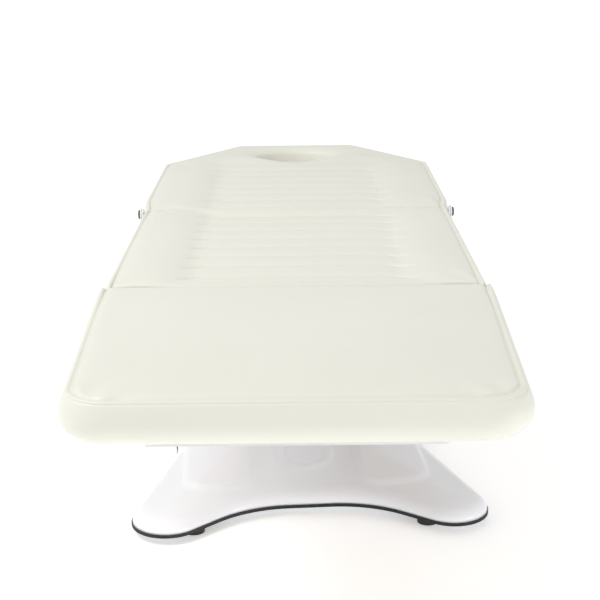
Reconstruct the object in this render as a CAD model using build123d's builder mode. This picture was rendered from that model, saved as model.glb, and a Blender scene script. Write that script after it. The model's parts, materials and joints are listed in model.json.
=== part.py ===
from build123d import *
import math
import os

# Facial treatment bed: back, seat and leg cushions on a telescopic lift column that stands
# on a butterfly-shaped floor base. Millimetres, +Z up. The foot end is at -Y and the head
# end at +Y, and the origin is on the floor under the middle of the bed.

# Levels above the floor
trim_bottom = 14
cover_bottom = 20
rail_bottom = 16
frame_bottom = 403
board_bottom = 433
cushion_bottom = 445
cushion_top = 508

# Cushions in plan
foot_end = -920
head_end = 920
leg_joint = -400
back_joint = 170.5
joint_gap = 3
leg_half_width = 309
foot_half_width = 285
foot_corner_radius = 60
seat_half_width = 301
back_half_width = 309
shoulder = 666
head_half_width = 143
head_corner_radius = 24
hinge_relief_half_width = 300
hinge_relief_end = 250
hinge_relief_radius = 150
cushion_edge_radius = 12
face_hole_y = 783
face_hole_half_x = 95
face_hole_half_y = 80
board_end_inset = 15
board_side_inset = 55
board_strip = 64
board_hole_margin = 12

# Steel tubes of the couch frames
tube_width = 30
tube_height = board_bottom - frame_bottom
moving_tube_height = 25
tube_wall = 2
seat_rail_x = 180
back_rail_x = 150

# Backrest hinge, level with the top seam, and the drive below it
back_axis_y = 160
back_axis_z = 497
hinge_pin_radius = 5
running_clearance = 0.05
back_swing = 70
back_drive_x = 135
back_drive_drop = 125
back_drive_rate = 1.105 * back_drive_drop
back_drive_z = back_axis_z - back_drive_drop
back_pin_y = back_axis_y - back_drive_rate * math.radians(back_swing / 2)

# Leg rest hinge, level with the frame, and the drive below it
leg_axis_y = leg_joint
leg_axis_z = 418
leg_swing = 45
leg_drive_drop = 70
leg_drive_rate = 1.04 * leg_drive_drop
leg_drive_z = leg_axis_z - leg_drive_drop
leg_pin_y = leg_axis_y - leg_drive_rate * math.radians(leg_swing / 2)

# Drives
lever_thickness = 8
fork_gap = 9
fork_ear = 5
drive_pin_radius = 8
fork_bore_radius = 4

# Floor base
base_y = 110
notch_half_width = 113
notch_depth_y = 281
lobe_corner_x = 377
lobe_corner_y = 503
waist_half_width = 237
notch_radius = 200
lobe_radius = 65
waist_radius = 250
cover_wall = 4
cover_edge_height = 48
cover_edge_radius = 18
cover_peak = 74
hump_half_x = 200
hump_half_y = 262
hump_top_half = 95
base_rail_x = 212
base_rail_half_length = 314
base_rail_width = 40
base_rail_height = 25
base_bar_y = 80
foot_x = 212
foot_y = 329
foot_pad_radius = 19
foot_pad_height = 10
foot_stem_radius = 5

# Lift column
column_plate_bottom = rail_bottom + base_rail_height
column_plate_top = 49
column_wall = 3
outer_column = 100
middle_column = 90
inner_column = 80
lower_shroud = 124
middle_shroud = 134
upper_shroud = 144
top_plate_bottom = 395
lift_plate_bottom = 383
lift_plate_top = 389
base_turn = 4

os.makedirs("parts", exist_ok=True)


def leg_outline(height, inset=0):
    """Leg cushion in plan: straight at the joint, narrower and rounded at the foot."""
    with BuildSketch(Plane.XY.offset(height)) as outline:
        with BuildLine():
            Polyline(
                (-leg_half_width, leg_joint - joint_gap / 2),
                (-foot_half_width, foot_end),
                (foot_half_width, foot_end),
                (leg_half_width, leg_joint - joint_gap / 2),
                close=True,
            )
        make_face()
        fillet(outline.vertices().sort_by(Axis.Y)[:2], foot_corner_radius)
        if inset:
            offset(amount=-inset)
    return outline.sketch


def seat_outline(height, side_inset=0, end_inset=0):
    """Seat cushion in plan: a rectangle between the two joints."""
    length = back_joint - leg_joint - joint_gap
    with BuildSketch(Plane.XY.offset(height)) as outline:
        with Locations((0, (back_joint + leg_joint) / 2)):
            Rectangle(2 * (seat_half_width - side_inset), length - 2 * end_inset)
    return outline.sketch


def back_outline(height, inset=0):
    """Back cushion in plan: relieved at the hinge, straight sides, then a taper to the head."""
    with BuildSketch(Plane.XY.offset(height)) as outline:
        with BuildLine():
            Polyline(
                (-hinge_relief_half_width, back_joint + joint_gap / 2),
                (hinge_relief_half_width, back_joint + joint_gap / 2),
                (back_half_width, hinge_relief_end),
                (back_half_width, shoulder),
                (head_half_width, head_end),
                (-head_half_width, head_end),
                (-back_half_width, shoulder),
                (-back_half_width, hinge_relief_end),
                close=True,
            )
        make_face()
        fillet(outline.vertices().sort_by(Axis.Y)[4:], head_corner_radius)
        fillet(outline.vertices().sort_by(Axis.Y)[2:4], hinge_relief_radius)
        if inset:
            offset(amount=-inset)
    return outline.sketch


def face_hole(height, margin=0):
    """Oval face hole near the head edge."""
    with BuildSketch(Plane.XY.offset(height)) as hole:
        with Locations((0, face_hole_y)):
            Ellipse(face_hole_half_x + margin, face_hole_half_y + margin)
    return hole.sketch


def base_outline(height, inset=0):
    """Butterfly plan of the base: four lobes, notched front and back, waisted sides."""
    quarter = [(notch_half_width, -notch_depth_y), (lobe_corner_x, -lobe_corner_y)]
    right = quarter + [(waist_half_width, 0)] + [(x, -y) for x, y in reversed(quarter)]
    left = [(-x, y) for x, y in reversed(right)]
    radii = [notch_radius, lobe_radius, waist_radius, lobe_radius, notch_radius] * 2
    with BuildSketch(Plane.XY.offset(height)) as outline:
        with BuildLine():
            FilletPolyline(*[(x, base_y + y) for x, y in right + left], radius=radii, close=True)
        make_face()
        if inset:
            offset(amount=-inset)
    return outline.sketch


def hollow_rectangle(plane, centre, width, height, wall):
    """Section of a rectangular tube."""
    with BuildSketch(plane) as section:
        with Locations(centre):
            Rectangle(width, height)
            Rectangle(width - 2 * wall, height - 2 * wall, mode=Mode.SUBTRACT)
    return section.sketch


def tube_along_y(x, y_from, y_to, z_low, height=tube_height, width=tube_width):
    """Frame tube that runs front to back."""
    plane = Plane.XZ.offset(-y_from)
    section = hollow_rectangle(plane, (x, z_low + height / 2), width, height, tube_wall)
    extrude(section, amount=y_from - y_to)


def tube_along_x(y, half_length, z_low, height=tube_height, width=tube_width):
    """Frame tube that runs from side to side."""
    plane = Plane.YZ.offset(-half_length)
    section = hollow_rectangle(plane, (y, z_low + height / 2), width, height, tube_wall)
    extrude(section, amount=2 * half_length)


def square_column(y, z_low, z_high, side, wall):
    """Upright square tube round the lift axis."""
    section = hollow_rectangle(Plane.XY.offset(z_low), (0, y), side, side, wall)
    extrude(section, amount=z_high - z_low)


def upright(x, y, z_low, z_high, radius, mode=Mode.ADD):
    """Upright round bar or hole."""
    with Locations((x, y, z_low)):
        Cylinder(radius, z_high - z_low, align=(Align.CENTER, Align.CENTER, Align.MIN), mode=mode)


def bar_along_x(x_low, x_high, y, z, radius, mode=Mode.ADD):
    """Round bar or hole that runs from side to side."""
    with BuildSketch(Plane.YZ.offset(x_low)) as section:
        with Locations((y, z)):
            Circle(radius)
    extrude(section.sketch, amount=x_high - x_low, mode=mode)


def bar_along_y(x, y_from, y_to, z, radius, mode=Mode.ADD):
    """Round bar or hole that runs front to back."""
    with BuildSketch(Plane.XZ.offset(-y_from)) as section:
        with Locations((x, z)):
            Circle(radius)
    extrude(section.sketch, amount=y_from - y_to, mode=mode)


def block(x_low, x_high, y_low, y_high, z_low, z_high, mode=Mode.ADD):
    """Rectangular block between two corners."""
    with Locations(((x_low + x_high) / 2, (y_low + y_high) / 2, (z_low + z_high) / 2)):
        Box(x_high - x_low, y_high - y_low, z_high - z_low, mode=mode)


def link_plate(x_low, x_high, ends, mode=Mode.ADD):
    """Flat plate with rounded ends, drawn in the YZ plane from (y, z, radius) ends."""
    with BuildSketch(Plane.YZ.offset(x_low)) as profile:
        for y, z, radius in ends:
            with Locations((y, z)):
                Circle(radius)
        make_hull()
    extrude(profile.sketch, amount=x_high - x_low, mode=mode)


def turned(piece):
    """The piece turned with the base, which stands a little askew under the bed."""
    moved = piece.rotate(Axis((0, base_y, 0), (0, 0, 1)), base_turn)
    moved.label = piece.label
    return moved


def both_sides(x_low, x_high):
    """The same span of X on the right and on the left."""
    return [(x_low, x_high), (-x_high, -x_low)]


def board_bolts(positions, low):
    """Bolts that hold a board down on its frame, heads underneath."""
    for x, y in positions:
        upright(x, y, low - bolt_head_height, low, bolt_head_radius)
        upright(x, y, low, bolt_tip, bolt_radius)


def bolt_holes(positions, z_low, z_high, radius):
    """Round holes through whatever has been built so far."""
    for x, y in positions:
        upright(x, y, z_low, z_high, radius, mode=Mode.SUBTRACT)


def fork(x, pin_y, z, direction, reach, thickness_y, ear_radius):
    """Rod end: two ears either side of a lever, joined by a base block beyond it."""
    outer = fork_gap / 2 + fork_ear
    inner_face = pin_y + direction * reach
    outer_face = inner_face + direction * thickness_y
    for x_low, x_high in both_sides(fork_gap / 2, outer):
        link_plate(x + x_low, x + x_high, [(pin_y, z, ear_radius)])
        block(x + x_low, x + x_high, *sorted((pin_y, inner_face)), z - ear_radius, z + ear_radius)
    block(x - outer, x + outer, *sorted((inner_face, outer_face)), z - ear_radius, z + ear_radius)
    bar_along_x(x - outer, x + outer, pin_y, z, fork_bore_radius, mode=Mode.SUBTRACT)


def drive_pin(x, pin_y, z):
    """Pin held by the fork's ears, with a thick middle that runs in the lever's slot."""
    outer = fork_gap / 2 + fork_ear
    bar_along_x(x - outer, x + outer, pin_y, z, fork_bore_radius)
    bar_along_x(x - fork_gap / 2, x + fork_gap / 2, pin_y, z, drive_pin_radius)


# ---- Cushions and boards -------------------------------------------------------------

with BuildPart() as leg_cushion:
    extrude(leg_outline(cushion_bottom), amount=cushion_top - cushion_bottom)
    fillet(leg_cushion.edges().group_by(Axis.Z)[-1], cushion_edge_radius)
leg_cushion.part.label = "leg_cushion"
export_step(leg_cushion.part, "parts/leg_cushion.step")

with BuildPart() as seat_cushion:
    extrude(seat_outline(cushion_bottom), amount=cushion_top - cushion_bottom)
    fillet(seat_cushion.edges().group_by(Axis.Z)[-1], cushion_edge_radius)
seat_cushion.part.label = "seat_cushion"
export_step(seat_cushion.part, "parts/seat_cushion.step")

with BuildPart() as back_cushion:
    extrude(back_outline(cushion_bottom), amount=cushion_top - cushion_bottom)
    fillet(back_cushion.edges().group_by(Axis.Z)[-1], cushion_edge_radius)
    extrude(face_hole(cushion_bottom), amount=cushion_top - cushion_bottom, mode=Mode.SUBTRACT)
back_cushion.part.label = "back_cushion"
export_step(back_cushion.part, "parts/back_cushion.step")

board_thickness = cushion_bottom - board_bottom
board_strip_half = hinge_relief_half_width - board_side_inset
bolt_radius = 3
bolt_head_radius = 6
bolt_head_height = 4
bolt_tip = board_bottom + 8
moving_frame_bottom = board_bottom - moving_tube_height
leg_bolt_places = [(x, y) for x in (-seat_rail_x, seat_rail_x) for y in (-740, -500)]
seat_bolt_places = [(x, y) for x in (-seat_rail_x, seat_rail_x) for y in (-330, 90)]
back_bolt_places = [(x, y) for x in (-back_rail_x, back_rail_x) for y in (270, 600)]

with BuildPart() as leg_board:
    extrude(leg_outline(board_bottom, board_side_inset), amount=board_thickness)
    block(
        -board_strip_half,
        board_strip_half,
        leg_joint - joint_gap / 2 - board_end_inset - board_strip,
        leg_joint - joint_gap / 2 - board_end_inset,
        board_bottom,
        cushion_bottom,
    )
    bolt_holes(leg_bolt_places, board_bottom, bolt_tip, bolt_radius)
leg_board.part.label = "leg_board"
export_step(leg_board.part, "parts/leg_board.step")

with BuildPart() as seat_board:
    seat_plan = seat_outline(board_bottom, board_side_inset, board_end_inset)
    extrude(seat_plan, amount=board_thickness)
    bolt_holes(seat_bolt_places, board_bottom, bolt_tip, bolt_radius)
seat_board.part.label = "seat_board"
export_step(seat_board.part, "parts/seat_board.step")

with BuildPart() as back_board:
    extrude(back_outline(board_bottom, board_side_inset), amount=board_thickness)
    block(
        -board_strip_half,
        board_strip_half,
        back_joint + joint_gap / 2 + board_end_inset,
        back_joint + joint_gap / 2 + board_end_inset + board_strip,
        board_bottom,
        cushion_bottom,
    )
    extrude(face_hole(board_bottom, board_hole_margin), amount=board_thickness, mode=Mode.SUBTRACT)
    bolt_holes(back_bolt_places, board_bottom, bolt_tip, bolt_radius)
back_board.part.label = "back_board"
export_step(back_board.part, "parts/back_board.step")

with BuildPart() as leg_board_bolts:
    board_bolts(leg_bolt_places, moving_frame_bottom)
leg_board_bolts.part.label = "leg_board_bolts"
export_step(leg_board_bolts.part, "parts/leg_board_bolts.step")

with BuildPart() as seat_board_bolts:
    board_bolts(seat_bolt_places, frame_bottom)
seat_board_bolts.part.label = "seat_board_bolts"
export_step(seat_board_bolts.part, "parts/seat_board_bolts.step")

with BuildPart() as back_board_bolts:
    board_bolts(back_bolt_places, moving_frame_bottom)
back_board_bolts.part.label = "back_board_bolts"
export_step(back_board_bolts.part, "parts/back_board_bolts.step")

# ---- Seat frame ----------------------------------------------------------------------

seat_front_tube_y = leg_joint + 30
seat_rear_tube_y = 140
column_tube_y = 0
drive_tube_y = -285
motor_tube_y = -170
seat_tube_half = seat_rail_x - tube_width / 2
plate_thickness = 3
seat_plate_inner = seat_half_width + 1
seat_plate_outer = seat_plate_inner + plate_thickness
top_plate_half = 100
top_plate_overhang = 25
plate_bolt_x = 88
plate_bolt_places = [
    (x, y) for x in (-plate_bolt_x, plate_bolt_x) for y in (column_tube_y, seat_rear_tube_y)
]
plate_bolt_radius = 4
plate_bolt_head_radius = 6.5
plate_bolt_head_height = 5

with BuildPart() as seat_frame:
    for x in (-seat_rail_x, seat_rail_x):
        tube_along_y(
            x,
            seat_front_tube_y + tube_width / 2,
            seat_rear_tube_y - tube_width / 2,
            frame_bottom,
        )
    bolt_holes(seat_bolt_places, frame_bottom, board_bottom, bolt_radius)
    tube_along_x(seat_front_tube_y, seat_rail_x + tube_width / 2, frame_bottom)
    for y in (drive_tube_y, motor_tube_y, column_tube_y):
        tube_along_x(y, seat_tube_half, frame_bottom)
    tube_along_x(seat_rear_tube_y, seat_plate_inner, frame_bottom)
    bolt_holes(plate_bolt_places, frame_bottom, board_bottom, plate_bolt_radius)
seat_frame.part.label = "seat_frame"
export_step(seat_frame.part, "parts/seat_frame.step")

with BuildPart() as top_plate:
    block(
        -top_plate_half,
        top_plate_half,
        column_tube_y - tube_width / 2,
        seat_rear_tube_y + top_plate_overhang,
        top_plate_bottom,
        frame_bottom,
    )
    bolt_holes(plate_bolt_places, top_plate_bottom, frame_bottom, plate_bolt_radius)
top_plate.part.label = "top_plate"
export_step(top_plate.part, "parts/top_plate.step")

with BuildPart() as top_plate_bolts:
    for x, y in plate_bolt_places:
        upright(
            x, y, top_plate_bottom - plate_bolt_head_height, top_plate_bottom, plate_bolt_head_radius
        )
        upright(x, y, top_plate_bottom, board_bottom, plate_bolt_radius)
top_plate_bolts.part.label = "top_plate_bolts"
export_step(top_plate_bolts.part, "parts/top_plate_bolts.step")

# Backrest pivots: a plate each side of the seat, a shoulder pin, a washer and a black cap
plate_gap = 0.8
washer_clearance = 0.3
back_plate_inner = seat_plate_outer + plate_gap
back_plate_outer = back_plate_inner + plate_thickness
pivot_pin_end = back_plate_outer + 0.5
pivot_boss = 12
pivot_foot = 14
pivot_cap_radius = 9
pivot_cap_length = 3.5
pivot_cap_rounding = 2

with BuildPart() as seat_hinge_plates:
    seat_tube_middle = frame_bottom + tube_height / 2
    for x_low, x_high in both_sides(seat_plate_inner, seat_plate_outer):
        ends = [(back_axis_y, back_axis_z, pivot_boss), (seat_rear_tube_y, seat_tube_middle, pivot_foot)]
        link_plate(x_low, x_high, ends)
        bar_along_x(x_low, x_high, back_axis_y, back_axis_z, hinge_pin_radius, mode=Mode.SUBTRACT)
seat_hinge_plates.part.label = "seat_hinge_plates"
export_step(seat_hinge_plates.part, "parts/seat_hinge_plates.step")

with BuildPart() as backrest_pins:
    for x_low, x_high in both_sides(seat_plate_inner, pivot_pin_end):
        bar_along_x(x_low, x_high, back_axis_y, back_axis_z, hinge_pin_radius)
backrest_pins.part.label = "backrest_pins"
export_step(backrest_pins.part, "parts/backrest_pins.step")

with BuildPart() as backrest_washers:
    for x_low, x_high in both_sides(seat_plate_outer, back_plate_inner - washer_clearance):
        bar_along_x(x_low, x_high, back_axis_y, back_axis_z, pivot_boss - 1)
        bar_along_x(x_low, x_high, back_axis_y, back_axis_z, hinge_pin_radius, mode=Mode.SUBTRACT)
backrest_washers.part.label = "backrest_washers"
export_step(backrest_washers.part, "parts/backrest_washers.step")

with BuildPart() as backrest_pivot_caps:
    for x_low, x_high in both_sides(pivot_pin_end, pivot_pin_end + pivot_cap_length):
        bar_along_x(x_low, x_high, back_axis_y, back_axis_z, pivot_cap_radius)
    outer_faces = backrest_pivot_caps.faces().sort_by(Axis.X)
    fillet(outer_faces[0].edges() + outer_faces[-1].edges(), pivot_cap_rounding)
backrest_pivot_caps.part.label = "backrest_pivot_caps"
export_step(backrest_pivot_caps.part, "parts/backrest_pivot_caps.step")

# Leg rest pivots: seat lugs either side of each leg lug
leg_lug_half = 6
lug_gap = 0.3
seat_lug = 5
lug_boss = 12
bush_radius = 8
leg_pin_half = leg_lug_half + lug_gap + seat_lug
leg_pin_head_radius = 8
leg_pin_head_length = 3

with BuildPart() as leg_hinge_lugs:
    for x in (-seat_rail_x, seat_rail_x):
        for x_low, x_high in both_sides(leg_lug_half + lug_gap, leg_pin_half):
            link_plate(x + x_low, x + x_high, [(leg_axis_y, leg_axis_z, lug_boss)])
            block(
                x + x_low,
                x + x_high,
                leg_axis_y,
                seat_front_tube_y - tube_width / 2,
                leg_axis_z - lug_boss,
                leg_axis_z + lug_boss,
            )
        bar_along_x(
            x - leg_pin_half,
            x + leg_pin_half,
            leg_axis_y,
            leg_axis_z,
            hinge_pin_radius,
            mode=Mode.SUBTRACT,
        )
leg_hinge_lugs.part.label = "leg_hinge_lugs"
export_step(leg_hinge_lugs.part, "parts/leg_hinge_lugs.step")

with BuildPart() as leg_hinge_pins:
    for x in (-seat_rail_x, seat_rail_x):
        bar_along_x(x - leg_pin_half, x + leg_pin_half, leg_axis_y, leg_axis_z, hinge_pin_radius)
        bar_along_x(
            x + leg_pin_half,
            x + leg_pin_half + leg_pin_head_length,
            leg_axis_y,
            leg_axis_z,
            leg_pin_head_radius,
        )
leg_hinge_pins.part.label = "leg_hinge_pins"
export_step(leg_hinge_pins.part, "parts/leg_hinge_pins.step")

# ---- Leg frame -----------------------------------------------------------------------

leg_rear_tube_y = leg_joint - 30
leg_front_tube_y = -805

with BuildPart() as leg_frame:
    for x in (-seat_rail_x, seat_rail_x):
        tube_along_y(
            x,
            leg_front_tube_y + tube_width / 2,
            leg_rear_tube_y - tube_width / 2,
            moving_frame_bottom,
            moving_tube_height,
        )
    bolt_holes(leg_bolt_places, moving_frame_bottom, board_bottom, bolt_radius)
    for y in (leg_front_tube_y, leg_rear_tube_y):
        tube_along_x(y, seat_rail_x + tube_width / 2, moving_frame_bottom, moving_tube_height)
leg_frame.part.label = "leg_frame"
export_step(leg_frame.part, "parts/leg_frame.step")

with BuildPart() as leg_rest_lugs:
    for x in (-seat_rail_x, seat_rail_x):
        link_plate(x - leg_lug_half, x + leg_lug_half, [(leg_axis_y, leg_axis_z, lug_boss)])
        block(
            x - leg_lug_half,
            x + leg_lug_half,
            leg_rear_tube_y + tube_width / 2,
            leg_axis_y,
            moving_frame_bottom,
            leg_axis_z + lug_boss,
        )
        bar_along_x(
            x - leg_lug_half,
            x + leg_lug_half,
            leg_axis_y,
            leg_axis_z,
            bush_radius,
            mode=Mode.SUBTRACT,
        )
leg_rest_lugs.part.label = "leg_rest_lugs"
export_step(leg_rest_lugs.part, "parts/leg_rest_lugs.step")

with BuildPart() as leg_hinge_bushes:
    bush_bore = hinge_pin_radius + running_clearance
    for x in (-seat_rail_x, seat_rail_x):
        x_low = x - leg_lug_half
        x_high = x + leg_lug_half
        bar_along_x(x_low, x_high, leg_axis_y, leg_axis_z, bush_radius)
        bar_along_x(x_low, x_high, leg_axis_y, leg_axis_z, bush_bore, mode=Mode.SUBTRACT)
leg_hinge_bushes.part.label = "leg_hinge_bushes"
export_step(leg_hinge_bushes.part, "parts/leg_hinge_bushes.step")

# Lever under the leg frame, with a slot that the drive pin pushes and pulls
leg_slot_inner = leg_drive_drop - 3
leg_slot_outer = leg_drive_drop + 9
leg_slot_play = 0.8
leg_slot_width = 2 * (drive_pin_radius + leg_slot_play)
leg_slot_angle = -90 - leg_swing / 2
leg_lever_root = 12
leg_lever_tip_radius = 20

with BuildPart() as leg_lever:
    lever_tip_y = leg_axis_y + leg_slot_outer * math.cos(math.radians(leg_slot_angle))
    lever_tip_z = leg_axis_z + leg_slot_outer * math.sin(math.radians(leg_slot_angle))
    with BuildSketch(Plane.YZ.offset(-lever_thickness / 2)) as lever_profile:
        with Locations((leg_rear_tube_y, moving_frame_bottom - leg_lever_root / 2)):
            Rectangle(tube_width, leg_lever_root)
        with Locations((lever_tip_y, lever_tip_z)):
            Circle(leg_lever_tip_radius)
        make_hull()
        with Locations((leg_axis_y, leg_axis_z)):
            with PolarLocations((leg_slot_inner + leg_slot_outer) / 2, 1, leg_slot_angle):
                SlotCenterToCenter(
                    leg_slot_outer - leg_slot_inner, leg_slot_width, mode=Mode.SUBTRACT
                )
    extrude(amount=lever_thickness)
leg_lever.part.label = "leg_lever"
export_step(leg_lever.part, "parts/leg_lever.step")

# ---- Back frame ----------------------------------------------------------------------

back_front_tube_y = 205
back_mid_tube_y = 440
back_head_tube_y = 675

with BuildPart() as back_frame:
    for x in (-back_rail_x, back_rail_x):
        tube_along_y(
            x,
            back_front_tube_y + tube_width / 2,
            back_head_tube_y - tube_width / 2,
            moving_frame_bottom,
            moving_tube_height,
        )
    bolt_holes(back_bolt_places, moving_frame_bottom, board_bottom, bolt_radius)
    for y, half_length in (
        (back_front_tube_y, back_plate_inner),
        (back_mid_tube_y, back_rail_x - tube_width / 2),
        (back_head_tube_y, back_rail_x + tube_width / 2),
    ):
        tube_along_x(y, half_length, moving_frame_bottom, moving_tube_height)
back_frame.part.label = "back_frame"
export_step(back_frame.part, "parts/back_frame.step")

with BuildPart() as back_hinge_plates:
    pivot_bore = hinge_pin_radius + running_clearance
    tube_middle = moving_frame_bottom + moving_tube_height / 2
    for x_low, x_high in both_sides(back_plate_inner, back_plate_outer):
        ends = [(back_axis_y, back_axis_z, pivot_boss), (back_front_tube_y, tube_middle, pivot_boss)]
        link_plate(x_low, x_high, ends)
        bar_along_x(x_low, x_high, back_axis_y, back_axis_z, pivot_bore, mode=Mode.SUBTRACT)
back_hinge_plates.part.label = "back_hinge_plates"
export_step(back_hinge_plates.part, "parts/back_hinge_plates.step")

# Quadrant lever under the back frame, slotted along a radius of the hinge
quadrant_inner = 103
quadrant_outer = 172
back_slot_inner = 124
back_slot_outer = 152
back_slot_play = 3
back_slot_width = 2 * (drive_pin_radius + back_slot_play)
back_slot_angle = -90 - back_swing / 2
back_lever_root = 28
quadrant_start = back_slot_angle - 8
quadrant_end = -62

with BuildPart() as back_lever:
    with BuildSketch(Plane.YZ.offset(back_drive_x - lever_thickness / 2)) as quadrant:
        with Locations((back_axis_y, back_axis_z)):
            Circle(quadrant_outer)
            Circle(quadrant_inner, mode=Mode.SUBTRACT)
        with BuildLine():
            reach = 2 * quadrant_outer
            corners = [
                (
                    back_axis_y + reach * math.cos(math.radians(angle)),
                    back_axis_z + reach * math.sin(math.radians(angle)),
                )
                for angle in (quadrant_start, quadrant_end)
            ]
            Polyline((back_axis_y, back_axis_z), *corners, close=True)
        make_face(mode=Mode.INTERSECT)
        with Locations((back_front_tube_y, moving_frame_bottom - back_lever_root / 2)):
            Rectangle(tube_width, back_lever_root)
        with Locations((back_axis_y, back_axis_z)):
            with PolarLocations((back_slot_inner + back_slot_outer) / 2, 1, back_slot_angle):
                SlotCenterToCenter(
                    back_slot_outer - back_slot_inner, back_slot_width, mode=Mode.SUBTRACT
                )
    extrude(amount=lever_thickness)
back_lever.part.label = "back_lever"
export_step(back_lever.part, "parts/back_lever.step")

# ---- Drives --------------------------------------------------------------------------

back_housing_front = 10
back_housing_rear = -235
back_housing_radius = 18
back_rod_radius = 10
back_rod_rear = -160
back_fork_reach = 50
back_fork_base = 10
back_ear_radius = 11
leg_housing_front = -330
leg_housing_rear = -205
leg_housing_radius = 16
leg_rod_radius = 8
leg_rod_rear = -305
leg_fork_reach = 28
leg_fork_base = 10
motor_half_width = 30
motor_length = 65
motor_drop = 28
motor_rounding = 10
rod_bore_end = 10
leg_rod_bore_end = 25
bracket_half_width = 24
bracket_half_thickness = 8
bracket_drop = 26

with BuildPart() as back_drive_housing:
    bar_along_y(
        back_drive_x, back_housing_rear, back_housing_front, back_drive_z, back_housing_radius
    )
    bar_along_y(
        back_drive_x,
        back_rod_rear - rod_bore_end,
        back_housing_front,
        back_drive_z,
        back_rod_radius + running_clearance,
        mode=Mode.SUBTRACT,
    )
back_drive_housing.part.label = "back_drive_housing"
export_step(back_drive_housing.part, "parts/back_drive_housing.step")

with BuildPart() as back_drive_motor:
    block(
        back_drive_x - motor_half_width,
        back_drive_x + motor_half_width,
        back_housing_rear - motor_length,
        back_housing_rear,
        back_drive_z - motor_drop,
        frame_bottom,
    )
    fillet(back_drive_motor.edges().filter_by(Axis.Y).group_by(Axis.Z)[0], motor_rounding)
back_drive_motor.part.label = "back_drive_motor"
export_step(back_drive_motor.part, "parts/back_drive_motor.step")

with BuildPart() as back_drive_rod:
    bar_along_y(
        back_drive_x,
        back_rod_rear,
        back_pin_y - back_fork_reach - back_fork_base,
        back_drive_z,
        back_rod_radius,
    )
back_drive_rod.part.label = "back_drive_rod"
export_step(back_drive_rod.part, "parts/back_drive_rod.step")

with BuildPart() as back_drive_fork:
    fork(
        back_drive_x,
        back_pin_y,
        back_drive_z,
        -1,
        back_fork_reach,
        back_fork_base,
        back_ear_radius,
    )
back_drive_fork.part.label = "back_drive_fork"
export_step(back_drive_fork.part, "parts/back_drive_fork.step")

with BuildPart() as back_drive_pin:
    drive_pin(back_drive_x, back_pin_y, back_drive_z)
back_drive_pin.part.label = "back_drive_pin"
export_step(back_drive_pin.part, "parts/back_drive_pin.step")

with BuildPart() as leg_drive_housing:
    bar_along_y(0, leg_housing_front, leg_housing_rear, leg_drive_z, leg_housing_radius)
    bar_along_y(
        0,
        leg_housing_front,
        leg_housing_rear - leg_rod_bore_end,
        leg_drive_z,
        leg_rod_radius + running_clearance,
        mode=Mode.SUBTRACT,
    )
leg_drive_housing.part.label = "leg_drive_housing"
export_step(leg_drive_housing.part, "parts/leg_drive_housing.step")

with BuildPart() as leg_drive_motor:
    block(
        -motor_half_width,
        motor_half_width,
        leg_housing_rear,
        leg_housing_rear + motor_length,
        leg_drive_z - motor_drop,
        frame_bottom,
    )
    fillet(leg_drive_motor.edges().filter_by(Axis.Y).group_by(Axis.Z)[0], motor_rounding)
leg_drive_motor.part.label = "leg_drive_motor"
export_step(leg_drive_motor.part, "parts/leg_drive_motor.step")

with BuildPart() as leg_drive_rod:
    leg_rod_front = leg_pin_y + leg_fork_reach + leg_fork_base
    bar_along_y(0, leg_rod_front, leg_rod_rear, leg_drive_z, leg_rod_radius)
leg_drive_rod.part.label = "leg_drive_rod"
export_step(leg_drive_rod.part, "parts/leg_drive_rod.step")

with BuildPart() as leg_drive_fork:
    fork(0, leg_pin_y, leg_drive_z, 1, leg_fork_reach, leg_fork_base, back_ear_radius)
leg_drive_fork.part.label = "leg_drive_fork"
export_step(leg_drive_fork.part, "parts/leg_drive_fork.step")

with BuildPart() as leg_drive_pin:
    drive_pin(0, leg_pin_y, leg_drive_z)
leg_drive_pin.part.label = "leg_drive_pin"
export_step(leg_drive_pin.part, "parts/leg_drive_pin.step")

with BuildPart() as drive_brackets:
    for x, y, z, radius in (
        (back_drive_x, column_tube_y, back_drive_z, back_housing_radius),
        (0, drive_tube_y, leg_drive_z, leg_housing_radius),
    ):
        front = y - bracket_half_thickness
        rear = y + bracket_half_thickness
        block(x - bracket_half_width, x + bracket_half_width, front, rear, z - bracket_drop, frame_bottom)
        bar_along_y(x, front, rear, z, radius, mode=Mode.SUBTRACT)
drive_brackets.part.label = "drive_brackets"
export_step(drive_brackets.part, "parts/drive_brackets.step")

# Control box under the seat frame, with a mains inlet and four lead sockets
box_x = -132
box_half_x = 30
box_half_y = 68
box_bottom = 360
inlet_half_x = 14
inlet_depth = 20
inlet_low = box_bottom + 12
inlet_high = box_bottom + 32
inlet_wall = 2
inlet_pin_spacing = 7
inlet_pin_half = 1
inlet_pin_recess = 2
inlet_pin_margin = 7
box_rounding = 6
lead_socket_spacing = 12
lead_socket_rise = 22
lead_socket_depth = 8
lead_socket_radius = 4

with BuildPart() as control_box:
    block(
        box_x - box_half_x, box_x + box_half_x, -box_half_y, box_half_y, box_bottom, frame_bottom
    )
    fillet(control_box.edges().filter_by(Axis.Y).group_by(Axis.Z)[0], box_rounding)
    block(
        box_x - inlet_half_x,
        box_x + inlet_half_x,
        box_half_y - inlet_depth,
        box_half_y,
        inlet_low,
        inlet_high,
        Mode.SUBTRACT,
    )
    for step in (-1.5, -0.5, 0.5, 1.5):
        bar_along_y(
            box_x + step * lead_socket_spacing,
            -box_half_y,
            -box_half_y + lead_socket_depth,
            box_bottom + lead_socket_rise,
            lead_socket_radius,
            mode=Mode.SUBTRACT,
        )
control_box.part.label = "control_box"
export_step(control_box.part, "parts/control_box.step")

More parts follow.
